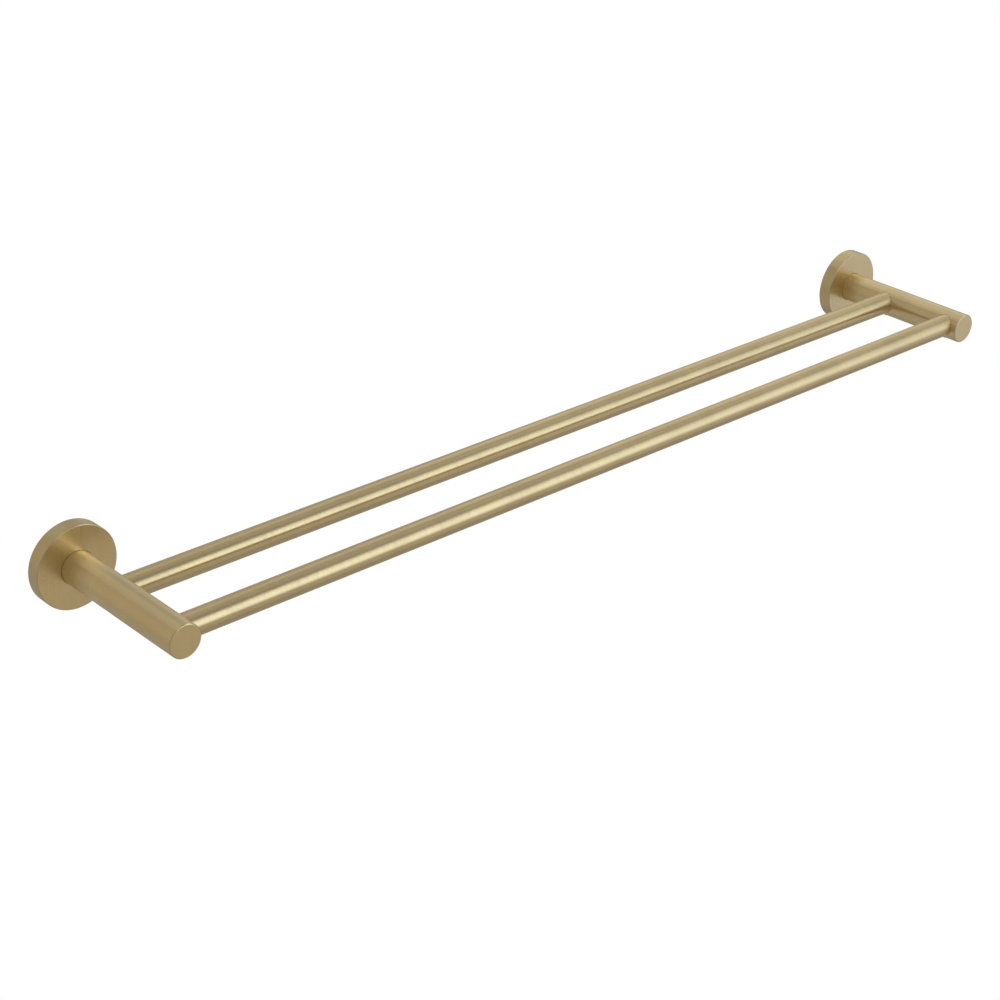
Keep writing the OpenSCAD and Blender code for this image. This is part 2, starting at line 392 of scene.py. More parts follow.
def makeFinish(name, look):
    material = bpy.data.materials.new(name)
    material.use_nodes = True
    tree = material.node_tree
    tree.nodes.clear()
    out = addNode(tree, "ShaderNodeOutputMaterial", (8, 0))
    shader = addNode(tree, "ShaderNodeBsdfPrincipled", (6, 0))
    tree.links.new(shader.outputs[0], out.inputs["Surface"])
    where = addNode(tree, "ShaderNodeTexCoord", (-4, 0)).outputs["Object"]
    stretch = addNode(tree, "ShaderNodeMapping", (-3, 0))
    stretch.inputs["Scale"].default_value = look["grain"]
    tree.links.new(where, stretch.inputs["Vector"])
    grain = placeEffect(tree, brushedGrain, (-1, 0), Vector=stretch.outputs[0], Roughness=look["roughness"],
                        **{"Roughness Spread": look["roughnessSpread"], "Broad Size": look["broadSize"]})
    marks = placeEffect(tree, handlingMarks, (-1, -1), Vector=where, **{"Patch Size": look["patchSize"]})
    edge = addNode(tree, "ShaderNodeAttribute", (-2, -2), attribute_name="paintedEdgeHighlight")
    edgeHighlight = placeEffect(tree, paintedEdgeHighlight, (-1, -2), Edge=edge.outputs["Fac"], Vector=where,
                        Amount=look["edgeHighlightAmount"])

    colour = blendColour(tree, grain.outputs["Tint"], (*look["dark"], 1), (*look["light"], 1), (1, 1))
    colour = blendColour(tree, calculate(tree, "MULTIPLY", marks.outputs["Mask"], look["markTint"], (1, 0)),
                         colour, (*look["marked"], 1), (2, 1))
    # painted highlight: rounded edges blend towards the lighter edge colour
    colour = blendColour(tree, edgeHighlight.outputs["Mask"], colour, (*look["edge"], 1), (3, 1))
    tree.links.new(colour, shader.inputs["Base Color"])
    rough = calculate(tree, "MULTIPLY_ADD", marks.outputs["Mask"], look["markRoughness"], (2, -1),
                      third=grain.outputs["Roughness"])
    rough = calculate(tree, "MULTIPLY_ADD", edgeHighlight.outputs["Mask"], -look["edgePolish"], (3, -1), third=rough)
    tree.links.new(rough, shader.inputs["Roughness"])
    bump = addNode(tree, "ShaderNodeBump", (4, -2))
    bump.inputs["Strength"].default_value = look["bump"]
    bump.inputs["Distance"].default_value = look["depth"]
    tree.links.new(grain.outputs["Height"], bump.inputs["Height"])
    tree.links.new(bump.outputs[0], shader.inputs["Normal"])
    shader.inputs["Metallic"].default_value = look.get("metallic", 1.0)
    shader.inputs["IOR"].default_value = 1.5
    if "coat" in look:
        wornCoat = look["coat"] * 0.5
        coat = ramp(tree, marks.outputs["Mask"], 0.0, 1.0, look["coat"], wornCoat, (3, -3))
        tree.links.new(coat, shader.inputs["Coat Weight"])
        shader.inputs["Coat Roughness"].default_value = 0.12
    if "tangent" in look:
        shader.inputs["Anisotropic"].default_value = look["anisotropy"]
        shader.inputs["Anisotropic Rotation"].default_value = 0.25
        tangent = addNode(tree, "ShaderNodeTangent", (4, -3), direction_type="RADIAL", axis=look["tangent"])
        tree.links.new(tangent.outputs[0], shader.inputs["Tangent"])
    return material


brassLook = {
    "dark": (0.735, 0.57, 0.295),
    "light": (0.82, 0.645, 0.345),
    "marked": (0.72, 0.56, 0.30),
    # edge is the colour of the painted highlight on rounded edges
    "edge": (0.90, 0.74, 0.44),
    "roughness": 0.30,
    "roughnessSpread": 0.06,
    "broadSize": 0.12,
    "patchSize": 26.0,
    "markTint": 0.35,
    "markRoughness": 0.03,
    "edgeHighlightAmount": 0.5,
    "edgePolish": 0.06,
    "bump": 0.6,
    "depth": 0.000003,
    "coat": 0.12,
}
# grain stretches the noise along x, y and z; the lines run across the largest of the three
barBrass = makeFinish("brushedBrassBar", dict(
    brassLook, grain=(3800, 95, 95), tangent="X", anisotropy=0.9))
postBrass = makeFinish("brushedBrassPost", dict(
    brassLook, grain=(95, 3800, 95), tangent="Y", anisotropy=0.85))
faceBrass = makeFinish("brushedBrassFace", dict(
    brassLook, grain=(3600, 420, 420), roughness=0.28, bump=0.22))
# painted shade: the flange rim gets a darker copy of the post brass
shadedRimBrass = makeFinish("brushedBrassRimPaintedShade", dict(
    brassLook, dark=(0.64, 0.495, 0.255), light=(0.71, 0.56, 0.30), grain=(95, 3800, 95), tangent="Y",
    anisotropy=0.85, edgeHighlightAmount=0.0))
zinc = makeFinish("castZinc", dict(
    brassLook, dark=(0.40, 0.41, 0.42), light=(0.56, 0.57, 0.58), marked=(0.36, 0.37, 0.38),
    edge=(0.72, 0.73, 0.74), grain=(1500, 1500, 1500), roughness=0.46, roughnessSpread=0.14,
    bump=0.8, depth=0.00002, patchSize=60.0))
steel = makeFinish("screwSteel", dict(
    brassLook, dark=(0.50, 0.49, 0.47), light=(0.66, 0.65, 0.62), marked=(0.42, 0.41, 0.39),
    edge=(0.80, 0.79, 0.76), grain=(2600, 2600, 2600), roughness=0.30, roughnessSpread=0.12,
    bump=0.5, depth=0.000004, patchSize=300.0))
nylon = makeFinish("naturalNylon", dict(
    brassLook, dark=(0.78, 0.76, 0.70), light=(0.86, 0.84, 0.79), marked=(0.70, 0.67, 0.60),
    edge=(0.90, 0.88, 0.84), grain=(900, 900, 900), roughness=0.48, roughnessSpread=0.10,
    bump=0.6, depth=0.00002, patchSize=120.0, metallic=0.0))
print("finishes ready")


def newShape(name, inputs):
    tree = bpy.data.node_groups.new(name, "GeometryNodeTree")
    tree.is_modifier = True
    for socketName, kind, value in inputs:
        socket = tree.interface.new_socket(name=socketName, in_out="INPUT", socket_type=kind)
        if value is not None:
            socket.default_value = value
    tree.interface.new_socket(name="Geometry", in_out="OUTPUT", socket_type="NodeSocketGeometry")
    return tree, addNode(tree, "NodeGroupInput", (-6, 0)), addNode(tree, "NodeGroupOutput", (9, 0))


placing = [
    ("Place", "NodeSocketVector", (0, 0, 0)),
    ("Axis", "NodeSocketVector", (0, 0, 1)),
    ("Side", "NodeSocketVector", (1, 0, 0)),
    ("Up", "NodeSocketVector", (0, 1, 0)),
]


def standUp(tree, given, geometry, x, y, z, finish):
    # lays a shape's x, y, z along Side, Up and Axis, then closes its seams and gives it its finish
    total = given.outputs["Place"]
    for column, (direction, length) in enumerate((("Side", x), ("Up", y), ("Axis", z))):
        part = scaled(tree, given.outputs[direction], length, (3, -column))
        total = calculate(tree, "ADD", total, part, (4, -column), kind="ShaderNodeVectorMath")
    move = addNode(tree, "GeometryNodeSetPosition", (5, 0))
    tree.links.new(geometry, move.inputs["Geometry"])
    tree.links.new(total, move.inputs["Position"])
    merge = addNode(tree, "GeometryNodeMergeByDistance", (6, 0))
    merge.inputs["Distance"].default_value = weldDistance
    smooth = addNode(tree, "GeometryNodeSetShadeSmooth", (6, -1))
    real = addNode(tree, "GeometryNodeRealizeInstances", (7, 0))
    paint = addNode(tree, "GeometryNodeSetMaterial", (8, 0))
    tree.links.new(move.outputs[0], merge.inputs[0])
    tree.links.new(merge.outputs[0], smooth.inputs[0])
    tree.links.new(smooth.outputs[0], real.inputs[0])
    tree.links.new(real.outputs[0], paint.inputs[0])
    tree.links.new(finish, paint.inputs["Material"])
    return paint.outputs[0]


def makeTurnedShape():
    # a profile's points (radius, form, height) swept round an axis; form 1 is six-sided, -1 is threaded
    tree, given, result = newShape("turnedShape", [
        ("Profile", "NodeSocketGeometry", None), ("Segments", "NodeSocketInt", 96),
        ("Pitch", "NodeSocketFloat", 0.001), ("Thread Depth", "NodeSocketFloat", 0.0),
        *placing, ("Finish", "NodeSocketMaterial", None)])
    count = addNode(tree, "GeometryNodeAttributeDomainSize", (-5, 1), component="MESH")
    tree.links.new(given.outputs["Profile"], count.inputs[0])
    columns = calculate(tree, "ADD", given.outputs["Segments"], 1.0, (-5, -1))
    grid = addNode(tree, "GeometryNodeMeshGrid", (-4, 1))
    tree.links.new(count.outputs["Point Count"], grid.inputs["Vertices X"])
    tree.links.new(columns, grid.inputs["Vertices Y"])
    index = addNode(tree, "GeometryNodeInputIndex", (-5, -2)).outputs[0]
    row = calculate(tree, "FLOOR", calculate(tree, "DIVIDE", index, columns, (-4, -1)), None, (-3, -1))
    rowStart = calculate(tree, "MULTIPLY", row, columns, (-3, -2))
    column = calculate(tree, "SUBTRACT", index, rowStart, (-2, -2))
    share = calculate(tree, "DIVIDE", column, given.outputs["Segments"], (-1, -2))
    angle = calculate(tree, "MULTIPLY", share, 2 * math.pi, (0, -2))
    position = addNode(tree, "GeometryNodeInputPosition", (-4, 2)).outputs[0]
    sample = addNode(tree, "GeometryNodeSampleIndex", (-2, 1), data_type="FLOAT_VECTOR", domain="POINT")
    tree.links.new(given.outputs["Profile"], sample.inputs["Geometry"])
    tree.links.new(position, sample.inputs["Value"])
    tree.links.new(row, sample.inputs["Index"])
    point = addNode(tree, "ShaderNodeSeparateXYZ", (-1, 1))
    tree.links.new(sample.outputs[0], point.inputs[0])
    radius, form, height = point.outputs
    # six flats
    pastCorner = calculate(tree, "MODULO", angle, math.pi / 3, (0, 2))
    sixth = calculate(tree, "SUBTRACT", pastCorner, math.pi / 6, (1, 2))
    reach = calculate(tree, "COSINE", sixth, None, (2, 2))
    flat = calculate(tree, "DIVIDE", math.cos(math.pi / 6), reach, (3, 2))
    sixSided = calculate(tree, "MAXIMUM", form, 0.0, (0, 3))
    change = calculate(tree, "MULTIPLY", sixSided, calculate(tree, "SUBTRACT", flat, 1.0, (4, 2)), (5, 2))
    radiusNow = calculate(tree, "MULTIPLY", radius, calculate(tree, "ADD", change, 1.0, (6, 2)), (7, 2))
    # thread
    threaded = calculate(tree, "MAXIMUM", calculate(tree, "MULTIPLY", form, -1.0, (0, 4)), 0.0, (1, 4))
    turnsUp = calculate(tree, "DIVIDE", height, given.outputs["Pitch"], (0, 5))
    climb = calculate(tree, "SUBTRACT", turnsUp, share, (1, 5))
    wave = calculate(tree, "PINGPONG", climb, 0.5, (2, 5))
    groove = calculate(tree, "MULTIPLY_ADD", wave, -2.0, (3, 5), third=1.0)
    grooveDepth = calculate(tree, "MULTIPLY", groove, given.outputs["Thread Depth"], (4, 5))
    cut = calculate(tree, "MULTIPLY", grooveDepth, threaded, (5, 5))
    radiusNow = calculate(tree, "SUBTRACT", radiusNow, cut, (8, 3))
    x = calculate(tree, "MULTIPLY", radiusNow, calculate(tree, "COSINE", angle, None, (1, -2)), (2, -2))
    y = calculate(tree, "MULTIPLY", radiusNow, calculate(tree, "SINE", angle, None, (1, -3)), (2, -3))
    stood = standUp(tree, given, grid.outputs["Mesh"], x, y, height, given.outputs["Finish"])
    tree.links.new(stood, result.inputs[0])
    return tree


def makeSplitRingShape():
    # a ring with a gap, of a rounded bar section
    tree, given, result = newShape("splitRing", [
        ("Seed", "NodeSocketGeometry", None), ("Segments", "NodeSocketInt", 72),
        ("Radius", "NodeSocketFloat", 0.004), ("Width", "NodeSocketFloat", 0.002),
        ("Thickness", "NodeSocketFloat", 0.001), ("Round", "NodeSocketFloat", 0.0002),
        ("Gap", "NodeSocketFloat", 0.25), *placing, ("Finish", "NodeSocketMaterial", None)])
    arc = addNode(tree, "GeometryNodeCurveArc", (-3, 1), mode="RADIUS")
    tree.links.new(given.outputs["Segments"], arc.inputs["Resolution"])
    tree.links.new(given.outputs["Radius"], arc.inputs["Radius"])
    tree.links.new(calculate(tree, "MULTIPLY", given.outputs["Gap"], 0.5, (-4, 0)), arc.inputs["Start Angle"])
    swept = calculate(tree, "SUBTRACT", 2 * math.pi, given.outputs["Gap"], (-4, -1))
    tree.links.new(swept, arc.inputs["Sweep Angle"])
    section = addNode(tree, "GeometryNodeCurvePrimitiveQuadrilateral", (-3, -1))
    tree.links.new(given.outputs["Width"], section.inputs["Width"])
    tree.links.new(given.outputs["Thickness"], section.inputs["Height"])
    fillet = addNode(tree, "GeometryNodeFilletCurve", (-2, -1), mode="POLY")
    fillet.inputs["Count"].default_value = 3
    tree.links.new(section.outputs[0], fillet.inputs[0])
    tree.links.new(given.outputs["Round"], fillet.inputs["Radius"])
    sweep = addNode(tree, "GeometryNodeCurveToMesh", (-1, 0))
    tree.links.new(arc.outputs[0], sweep.inputs["Curve"])
    tree.links.new(fillet.outputs[0], sweep.inputs["Profile Curve"])
    sweep.inputs["Fill Caps"].default_value = True
    position = addNode(tree, "GeometryNodeInputPosition", (0, -1)).outputs[0]
    split = addNode(tree, "ShaderNodeSeparateXYZ", (1, -1))
    tree.links.new(position, split.inputs[0])
    x, y, z = split.outputs
    stood = standUp(tree, given, sweep.outputs[0], x, y, z, given.outputs["Finish"])
    tree.links.new(stood, result.inputs[0])
    return tree


turnedShape = makeTurnedShape()
splitRing = makeSplitRingShape()


def socketIds(tree):
    return {s.name: s.identifier for s in tree.interface.items_tree
            if s.item_type == "SOCKET" and s.in_out == "INPUT"}


def asPlainMesh(piece):
    # applies what the modifiers make and takes them off
    graph = bpy.context.evaluated_depsgraph_get()
    mesh = bpy.data.meshes.new_from_object(
        piece.evaluated_get(graph), preserve_all_data_layers=True, depsgraph=graph)
    piece.modifiers.clear()
    old = piece.data
    piece.data = mesh
    bpy.data.meshes.remove(old)
    mesh.name = piece.name


def growPiece(name, shape, seed, **settings):
    piece = bpy.data.objects.new(name, seed)
    scene.collection.objects.link(piece)
    modifier = piece.modifiers.new("shape", "NODES")
    modifier.node_group = shape
    ids = socketIds(shape)
    for key, value in settings.items():
        words = "".join(" " + c.upper() if i and c.isupper() else c for i, c in enumerate(key))
        modifier[ids[words[0].upper() + words[1:]]] = list(value) if isinstance(value, Vector) else value
    asPlainMesh(piece)
    return piece


def roundedProfile(corners, closed=False, steps=4):
    # corners are (radius, height, rounding, form); each rounding becomes a short arc
    points = []
    total = len(corners)
    for index, (radius, height, rounding, form) in enumerate(corners):
        here = Vector((radius, height))
        atEnd = not closed and index in (0, total - 1)
        if rounding <= 0 or atEnd:
            points.append((radius, form, height))
            continue
        before = Vector(corners[index - 1][:2]) - here
        after = Vector(corners[(index + 1) % total][:2]) - here
        start = here + before.normalized() * min(rounding, before.length * 0.45)
        end = here + after.normalized() * min(rounding, after.length * 0.45)
        for step in range(steps + 1):
            share = step / steps
            spot = start * (1 - share) ** 2 + here * 2 * share * (1 - share) + end * share ** 2
            points.append((spot[0], form, spot[1]))
    if closed:
        points.append(points[0])
    return points


def profileMesh(name, points):
    mesh = bpy.data.meshes.new(name)
    mesh.from_pydata(points, [(i, i + 1) for i in range(len(points) - 1)], [])
    return mesh


def directionsRound(axis):
    # two directions square to an axis, right-handed with it
    axis = Vector(axis).normalized()
    side = Vector((0, 0, 1)) if abs(axis.z) < 0.5 else Vector((1, 0, 0))
    return side, axis.cross(side)


def turnPiece(name, points, place, axis, finish, segments=96, pitch=0.001, threadDepth=0.0):
    side, up = directionsRound(axis)
    return growPiece(name, turnedShape, profileMesh(name, points), segments=segments, pitch=pitch,
                     threadDepth=threadDepth, place=Vector(place), axis=Vector(axis), side=side, up=up,
                     finish=finish)


def cutWith(piece, cutters):
    for number, cutter in enumerate(cutters):
        modifier = piece.modifiers.new("hole" + str(number), "BOOLEAN")
        modifier.operation = "DIFFERENCE"
        modifier.solver = "EXACT"
        modifier.object = cutter
    asPlainMesh(piece)
    for cutter in cutters:
        bpy.data.objects.remove(cutter)


# degrees of turn at which the painted edge highlight starts, and how many more make it full
edgeHighlightTurns = (9, 14)


def closeMesh(piece):
    cleaner = bmesh.new()
    cleaner.from_mesh(piece.data)
    bmesh.ops.remove_doubles(cleaner, verts=cleaner.verts, dist=weldDistance)
    bmesh.ops.dissolve_degenerate(cleaner, edges=cleaner.edges, dist=0.0000005)
    bmesh.ops.recalc_face_normals(cleaner, faces=cleaner.faces)
    start, span = edgeHighlightTurns
    # mask for the painted edge highlight, from how sharply the faces turn at each point
    layer = cleaner.verts.layers.float.new("paintedEdgeHighlight")
    for vert in cleaner.verts:
        turns = [math.degrees(e.calc_face_angle(0.0)) for e in vert.link_edges]
        vert[layer] = min(1.0, max(0.0, (max(turns, default=0) - start) / span))
    cleaner.to_mesh(piece.data)
    cleaner.free()
    openEdges = sum(1 for e in countFaces(piece.data).values() if e != 2)
    if openEdges:
        print("  open or doubled edges in", piece.name, openEdges)


def countFaces(mesh):
    uses = {}
    for polygon in mesh.polygons:
        for key in polygon.edge_keys:
            uses[key] = uses.get(key, 0) + 1
    return uses


def smoothPiece(piece, sharpAngle=38):
    closeMesh(piece)
    for polygon in piece.data.polygons:
        polygon.use_smooth = True
    piece.data.set_sharp_from_angle(angle=math.radians(sharpAngle))
    weighted = piece.modifiers.new("evenNormals", "WEIGHTED_NORMAL")
    weighted.keep_sharp = True
    weighted.weight = 60
    asPlainMesh(piece)


def trueCylinder(piece, middle, axis, radius, tolerance=0.00003):
    # faces that lie on the cylinder get its exact normals, so that reflections run straight
    mesh = piece.data
    axis = Vector(axis)
    normals = [Vector(n.vector) for n in mesh.corner_normals]
    for polygon in mesh.polygons:
        out = polygon.center - middle
        out -= axis * out.dot(axis)
        if abs(out.length - radius) > tolerance or abs(polygon.normal.dot(out.normalized())) < 0.99:
            continue
        for corner in polygon.loop_indices:
            spot = mesh.vertices[mesh.loops[corner].vertex_index].co - middle
            spot -= axis * spot.dot(axis)
            normals[corner] = spot.normalized()
    mesh.normals_split_custom_set(normals)


def paintFaces(piece, finishes, choose):
    # gives each face the finish that choose picks by number
    piece.data.materials.clear()
    for finish in finishes:
        piece.data.materials.append(finish)
    for polygon in piece.data.polygons:
        polygon.material_index = choose(polygon)


def finishPiece(piece, node, body):
    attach(piece, body)
    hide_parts(node)


def ringCutter(name, rings):
    # a closed solid through rings of equal length
    mesh = bpy.data.meshes.new(name)
    around = len(rings[0])
    verts = [tuple(p) for ring in rings for p in ring]
    faces = []
    for row in range(len(rings) - 1):
        for i in range(around):
            j = (i + 1) % around
            faces.append((row * around + i, row * around + j,
                          (row + 1) * around + j, (row + 1) * around + i))
    faces.append(tuple(range(around))[::-1])
    faces.append(tuple((len(rings) - 1) * around + i for i in range(around)))
    mesh.from_pydata(verts, [], faces)
    fixer = bmesh.new()
    fixer.from_mesh(mesh)
    bmesh.ops.recalc_face_normals(fixer, faces=fixer.faces)
    fixer.to_mesh(mesh)
    fixer.free()
    cutter = bpy.data.objects.new(name, mesh)
    scene.collection.objects.link(cutter)
    return cutter


# how the mouth of a hole is eased: (wider by, below the surface by)
easedMouth = [(0.0, 0.2), (0.05, 0.1), (0.16, 0.03), (0.34, 0.0), (0.6, -0.1)]


def holeInRound(name, middle, roundRadius, holeRadius, into, floorAt, offset, ease=1.0, around=96):
    # middle lies on the round's axis, which runs along y; into points from the axis out through the mouth,
    # offset moves the hole sideways from the axis, floorAt is the height of its floor above the axis
    into = Vector(into)
    offset = Vector(offset)
    across = offset.normalized() if offset.length > 0 else into.cross(Vector((0, 1, 0)))
    shift = offset.length
    rings = []

    def ring(wider, below=None, level=None):
        spots = []
        for i in range(around):
            angle = 2 * math.pi * i / around
            side = shift + (holeRadius + wider) * math.sin(angle)
            along = (holeRadius + wider) * math.cos(angle)
            if level is None:
                height = math.sqrt((roundRadius - below) ** 2 - side ** 2)
            else:
                height = level
            spots.append(middle + into * height + across * side + Vector((0, along, 0)))
        return spots

    rings.append(ring(0, level=floorAt))
    for wider, below in easedMouth:
        rings.append(ring(wider * mm * ease, below=below * mm * ease))
    rings.append(ring(easedMouth[-1][0] * mm * ease, level=roundRadius + 2 * mm))
    return ringCutter(name, rings)


barSize = {
    "wall": 1.2 * mm,
    "edge": 0.25 * mm,
    "segments": 144,
    "stations": 24,  # stretches that the outside is divided into along its length
    "innerStations": 4,
}
barNodes = ("back_bar", "front_bar")


def longWall(radius, start, end, stations):
    # corners along a straight wall, so that its quads stay short
    return [(radius, start + (end - start) * i / stations, 0, 0) for i in range(1, stations)]


def makeBar(node):
    size = sizeOf(node)
    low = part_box(node)[0]
    middle = centreOf(node)
    outer, inner, length = size.z / 2, size.z / 2 - barSize["wall"], size.x
    edge = barSize["edge"]
    corners = [(inner, 0, edge, 0), *longWall(inner, 0, length, barSize["innerStations"]),
               (inner, length, edge, 0), (outer, length, edge, 0),
               *longWall(outer, length, 0, barSize["stations"]), (outer, 0, edge, 0)]
    bar = turnPiece(node + "_tube", roundedProfile(corners, closed=True), (low.x, middle.y, middle.z),
                    (1, 0, 0), barBrass, barSize["segments"])
    smoothPiece(bar)
    finishPiece(bar, node, "rack")


for node in barNodes:
    makeBar(node)
print("bars turned")

postSize = {
    "edge": 0.6 * mm,
    "edgeSoft": 0.18 * mm,
    "segments": 180,
    "stations": 26,
    "capRings": (0.66, 0.33),  # shares of the radius at which the free end is divided
    "tapRadius": 3.02 * mm,
    "tapDepth": 14 * mm,
    "drillPoint": 1.4 * mm,
    "backSoft": 0.15 * mm,
    "mouthSoft": 0.4 * mm,  # chamfer at the mouth of the tapped hole
    "socketPastCentre": 1 * mm,
    "socketGap": 0.02 * mm,
    "socketSegments": 144,
    "keyHoleInset": 4 * mm,
    "keyHoleFloor": 4 * mm,  # below the post's axis, well inside the socket
    "keyHoleEase": 0.6,
    "keyHoleSegments": 48,
}


def makePost(side):
    node = side + "_post"
    low, high, middle = boxOf(node)
    radius, length = sizeOf(node).x / 2, high.y - low.y
    s = postSize
    corners = [
        (0, s["tapDepth"] + s["drillPoint"], 0, 0), (s["tapRadius"], s["tapDepth"], 0, 0),
        (s["tapRadius"], s["mouthSoft"], 0, 0), (s["tapRadius"] + s["mouthSoft"], 0, 0, 0),
        (radius, 0, s["backSoft"], 0),
        *longWall(radius, 0, length - s["edge"], s["stations"]),
        (radius, length - s["edge"], s["edgeSoft"], 0), (radius - s["edge"], length, s["edgeSoft"], 0),
        *((radius * share, length, 0, 0) for share in s["capRings"]), (0, length, 0, 0)]
    post = turnPiece(node + "_rod", roundedProfile(corners), (middle.x, high.y, middle.z), towardsRoom,
                     postBrass, s["segments"])
    inward = Vector((-sides[side], 0, 0))
    down = Vector((0, 0, -1))
    cutters = []
    for bar in barNodes:
        barMiddle = centreOf(bar)
        onAxis = Vector((middle.x, barMiddle.y, middle.z))
        cutters.append(holeInRound("socket", onAxis, radius, sizeOf(bar).z / 2 + s["socketGap"], inward,
                                   -s["socketPastCentre"], Vector((0, 0, barMiddle.z - middle.z)),
                                   around=s["socketSegments"]))
        screw = sizeOf(bar + "_" + side + "_set_screw")
        cutters.append(holeInRound("keyHole", onAxis, radius, screw.x / 2 + s["socketGap"], down,
                                   s["keyHoleFloor"], inward * s["keyHoleInset"], s["keyHoleEase"],
                                   s["keyHoleSegments"]))
    cutWith(post, cutters)
    smoothPiece(post)
    trueCylinder(post, middle, (0, 1, 0), radius)
    paintFaces(post, (postBrass, faceBrass), lambda face: int(face.normal.y < -0.9))
    finishPiece(post, node, "rack")


for side in sides:
    makePost(side)
print("posts turned and drilled")

flangeSize = {
    "edge": 0.4 * mm,
    "edgeSoft": 0.12 * mm,
    "wall": 5.4 * mm,
    "face": 3 * mm,
    "seat": 1 * mm,
    "seatGap": 0.1 * mm,
    "seatEase": 0.3 * mm,
    "seatSoft": 0.05 * mm,
    "boreRadius": 3.2 * mm,
    "boreSoft": 0.1 * mm,
    "pocketSoft": 0.2 * mm,
    "backSoft": 0.3 * mm,
    "faceRings": (0.35, 0.7),  # shares of the way from the seat to the rim
    "segments": 216,
    "threadGap": 0.02 * mm,
    "lockHoleStart": 2 * mm,  # how far inside the pocket its cutter starts
    "lockHoleEase": 0.6,
    "lockHoleSegments": 48,
    "rimDepth": 0.5 * mm,  # how far in from the outside the rim's darker brass (painted shade) reaches over the edge
    "rimTilt": 0.95,  # a face that looks straighter at the room or the wall than this isn't rim
}


def makeFlange(side):
    node = side + "_flange"
    low, high, middle = boxOf(node)
    radius, depth = sizeOf(node).x / 2, high.y - low.y
    postRadius = sizeOf(side + "_post").x / 2
    s = flangeSize
    pocket, seat = radius - s["wall"], postRadius + s["seatGap"]
    plate = depth - s["face"]
    corners = [
        (s["boreRadius"], plate, s["boreSoft"], 0), (s["boreRadius"], depth - s["seat"], s["boreSoft"], 0),
        (seat, depth - s["seat"], s["seatSoft"], 0), (seat, depth, s["seatEase"], 0),
        *((seat + (radius - seat) * share, depth, 0, 0) for share in s["faceRings"]),
        (radius - s["edge"], depth, s["edgeSoft"], 0), (radius, depth - s["edge"], s["edgeSoft"], 0),
        (radius, depth * 0.5, 0, 0),
        (radius, 0, s["backSoft"], 0), (pocket, 0, s["backSoft"], 0), (pocket, plate, s["pocketSoft"], 0)]
    flange = turnPiece(node + "_cup", roundedProfile(corners, closed=True),
                       (middle.x, high.y, middle.z), towardsRoom, faceBrass, s["segments"])
    screwNode = side + "_flange_set_screw"
    onAxis = Vector((middle.x, centreOf(screwNode).y, middle.z))
    lockHole = holeInRound("lockHole", onAxis, radius, sizeOf(screwNode).x / 2 + s["threadGap"],
                           Vector((0, 0, -1)), pocket - s["lockHoleStart"], Vector((0, 0, 0)),
                           s["lockHoleEase"], s["lockHoleSegments"])
    cutWith(flange, [lockHole])
    smoothPiece(flange)
    trueCylinder(flange, middle, (0, 1, 0), radius)

    def onRim(face):
        out = face.center - middle
        outside = math.hypot(out.x, out.z) > radius - s["rimDepth"]
        return int(outside and abs(face.normal.y) < s["rimTilt"])

    paintFaces(flange, (faceBrass, shadedRimBrass), onRim)
    finishPiece(flange, node, "rack")


for side in sides:
    makeFlange(side)
print("flanges turned")

bracketSize = {
    "bore": 6 * mm,
    "soft": 0.35 * mm,
    "ringShare": 0.4,  # of the way from the bore to the rim
    "segments": 144,
    "holeRadius": 2.6 * mm,
    "sinkRadius": 4.8 * mm,
    "sinkDepth": 2.2 * mm,
    "holeInset": 7 * mm,
    "holeSegments": 64,
    "cutterPast": 1 * mm,  # how far the holes' cutters stand out on both sides
    "sinkPast": 0.3 * mm,  # how far a countersink goes on widening outside
}


def makeBracket(side):
    node = side + "_wall_bracket"
    low, high, middle = boxOf(node)
    radius, depth = sizeOf(node).x / 2, high.y - low.y
    s = bracketSize
    between = s["bore"] + (radius - s["bore"]) * s["ringShare"]
    corners = [(s["bore"], 0, s["soft"], 0), (s["bore"], depth, s["soft"], 0), (between, depth, 0, 0),
               (radius, depth, s["soft"], 0), (radius, 0, s["soft"], 0), (between, 0, 0, 0)]
    bracket = turnPiece(node + "_ring", roundedProfile(corners, closed=True),
                        (middle.x, high.y, middle.z), towardsRoom, zinc, s["segments"])
    cutters = []
    for upOrDown in (-1, 1):
        past, wide = s["cutterPast"], s["sinkRadius"] + s["sinkPast"]
        sink = [(0, -past, 0, 0), (s["holeRadius"], -past, 0, 0),
                (s["holeRadius"], depth - s["sinkDepth"], 0, 0), (s["sinkRadius"], depth, 0, 0),
                (wide, depth + s["sinkPast"], 0, 0), (wide, depth + past, 0, 0), (0, depth + past, 0, 0)]
        height = middle.z + upOrDown * (radius - s["holeInset"])
        hole = turnPiece("wallScrewHole", roundedProfile(sink), (middle.x, high.y, height), towardsRoom,
                         zinc, s["holeSegments"])
        closeMesh(hole)
        cutters.append(hole)
    cutWith(bracket, cutters)
    smoothPiece(bracket)
    finishPiece(bracket, node, "brackets")


for side in sides:
    makeBracket(side)
print("brackets cast and drilled")

screwSize = {
    "tipShare": 0.25,  # shares of the thread's radius
    "keyShare": 0.55,
    "keyDepthShare": 0.45,  # of the length, or of the head's height
    "keyFloor": 0.7,  # share of the key's radius at which its floor turns into a cone
    "grooveShare": 0.45,  # of the pitch
    "rowsPerPitch": 8,
    "runOut": 0.6,  # of a pitch, over which the thread fades at each end
    "pitch": {"flange": 0.8 * mm, "bar": 0.7 * mm, "post": 1.0 * mm},
    "segments": 72,
}


def threadRows(radius, start, end, pitch):
    # points close enough together to show a thread, running out at both ends
    perPitch = screwSize["rowsPerPitch"]
    rows = max(4, int(round(abs(end - start) / pitch * perPitch)))
    points = []
    for i in range(rows + 1):
        share = i / rows
        fade = min(1.0, min(share, 1 - share) * rows / (perPitch * screwSize["runOut"]))
        points.append((radius, start + (end - start) * share, 0, -fade))
    return points


